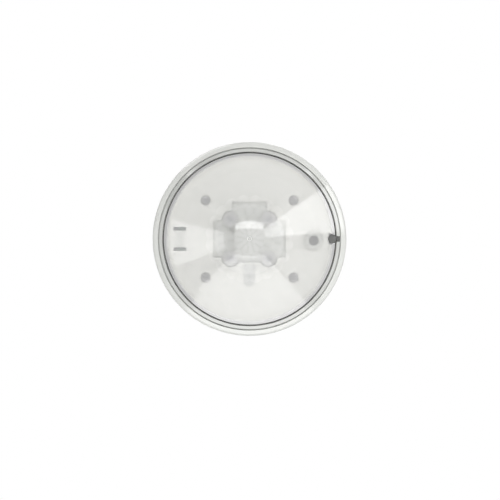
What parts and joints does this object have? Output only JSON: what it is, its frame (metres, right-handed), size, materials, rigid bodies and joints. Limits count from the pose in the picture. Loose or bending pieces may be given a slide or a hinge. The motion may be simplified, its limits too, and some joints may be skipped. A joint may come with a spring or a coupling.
{
  "type": "presence detector",
  "caption": "Round ceiling presence detector with a milky domed lens, trim ring, back posts and plug-on bus terminal.",
  "frame": {"origin": "middle of the flat back face that lies on the ceiling", "axes": "+Z points into the ceiling, away from the lens; +X runs from the black to the red pole"},
  "size_m": [0.108, 0.108, 0.056],
  "materials": {
    "shell_plastic": "satin moulded",
    "ring_plastic": "gloss moulded",
    "lens_plastic": "milky, half gloss",
    "seal_rubber": "matt",
    "frame_plastic": "fine grain",
    "holder_plastic": "fine grain",
    "post_plastic": "satin moulded",
    "socket_plastic": "satin moulded",
    "screw_steel": "zinc plated",
    "board_laminate": "solder mask",
    "guide_clear": "polished clear plastic",
    "receiver_black": "dark epoxy",
    "sensor_clear": "clear epoxy",
    "led_red": "tinted epoxy",
    "button_plastic": "satin moulded",
    "plunger_black": "satin moulded",
    "switch_black": "satin moulded",
    "terminal_black": "gloss moulded",
    "terminal_red": "gloss moulded",
    "contact_brass": "tinned spring brass",
    "pin_brass": "drawn",
    "chip_black": "moulded epoxy",
    "choke_ferrite": "sintered",
    "can_metal": "nickel plated",
    "header_metal": "plated",
    "window_silicon": "polished silicon",
    "capacitor_aluminium": "drawn can"
  },
  "bodies": {
    "housing": {"back_shell": "shell_plastic", "lens_seal": "seal_rubber", "sensor_frame": "frame_plastic", "frame_screws": "screw_steel", "main_board": "board_laminate", "sensor_holder": "holder_plastic", "light_guide": "guide_clear", "ir_receiver": "receiver_black", "brightness_sensor": "sensor_clear", "status_led": "led_red", "button_switch": "switch_black", "mounting_post_left": "post_plastic", "mounting_post_right": "post_plastic", "terminal_socket": "socket_plastic", "bus_pins": "pin_brass", "microcontroller": "chip_black", "bus_transceiver": "chip_black", "choke": "choke_ferrite", "crystal": "can_metal", "buffer_capacitor": "capacitor_aluminium", "pir_header_front_left": "header_metal", "pir_cap_front_left": "can_metal", "pir_window_front_left": "window_silicon", "pir_header_front_right": "header_metal", "pir_cap_front_right": "can_metal", "pir_window_front_right": "window_silicon", "pir_header_rear_right": "header_metal", "pir_cap_rear_right": "can_metal", "pir_window_rear_right": "window_silicon", "pir_header_rear_left": "header_metal", "pir_cap_rear_left": "can_metal", "pir_window_rear_left": "window_silicon"},
    "trim_ring": {"trim_ring": "ring_plastic"},
    "lens_cap": {"lens_cap": "lens_plastic"},
    "bus_terminal": {"bus_terminal_black": "terminal_black", "bus_terminal_red": "terminal_red", "contact_sleeve_black": "contact_brass", "contact_sleeve_red": "contact_brass"},
    "button": {"programming_button": "button_plastic", "button_plunger": "plunger_black"}
  },
  "joints": [
    {"name": "trim_ring_turn", "type": "hinge", "parent": "housing", "child": "trim_ring", "pos_m": [0, 0, -0.0095], "axis": [0, 0, -1], "range_deg": [0, 12]},
    {"name": "lens_cap_release", "type": "slide", "parent": "housing", "child": "lens_cap", "axis": [0, 0, -1], "range_m": [0, 0.035]},
    {"name": "bus_terminal_unplug", "type": "slide", "parent": "housing", "child": "bus_terminal", "axis": [0, 0, 1], "range_m": [0, 0.014]},
    {"name": "programming_button_press", "type": "slide", "parent": "housing", "child": "button", "axis": [0, 0, 1], "range_m": [0, 0.0005], "stiffness_N_per_m": 2000, "springref_m": -0.0005}
  ]
}
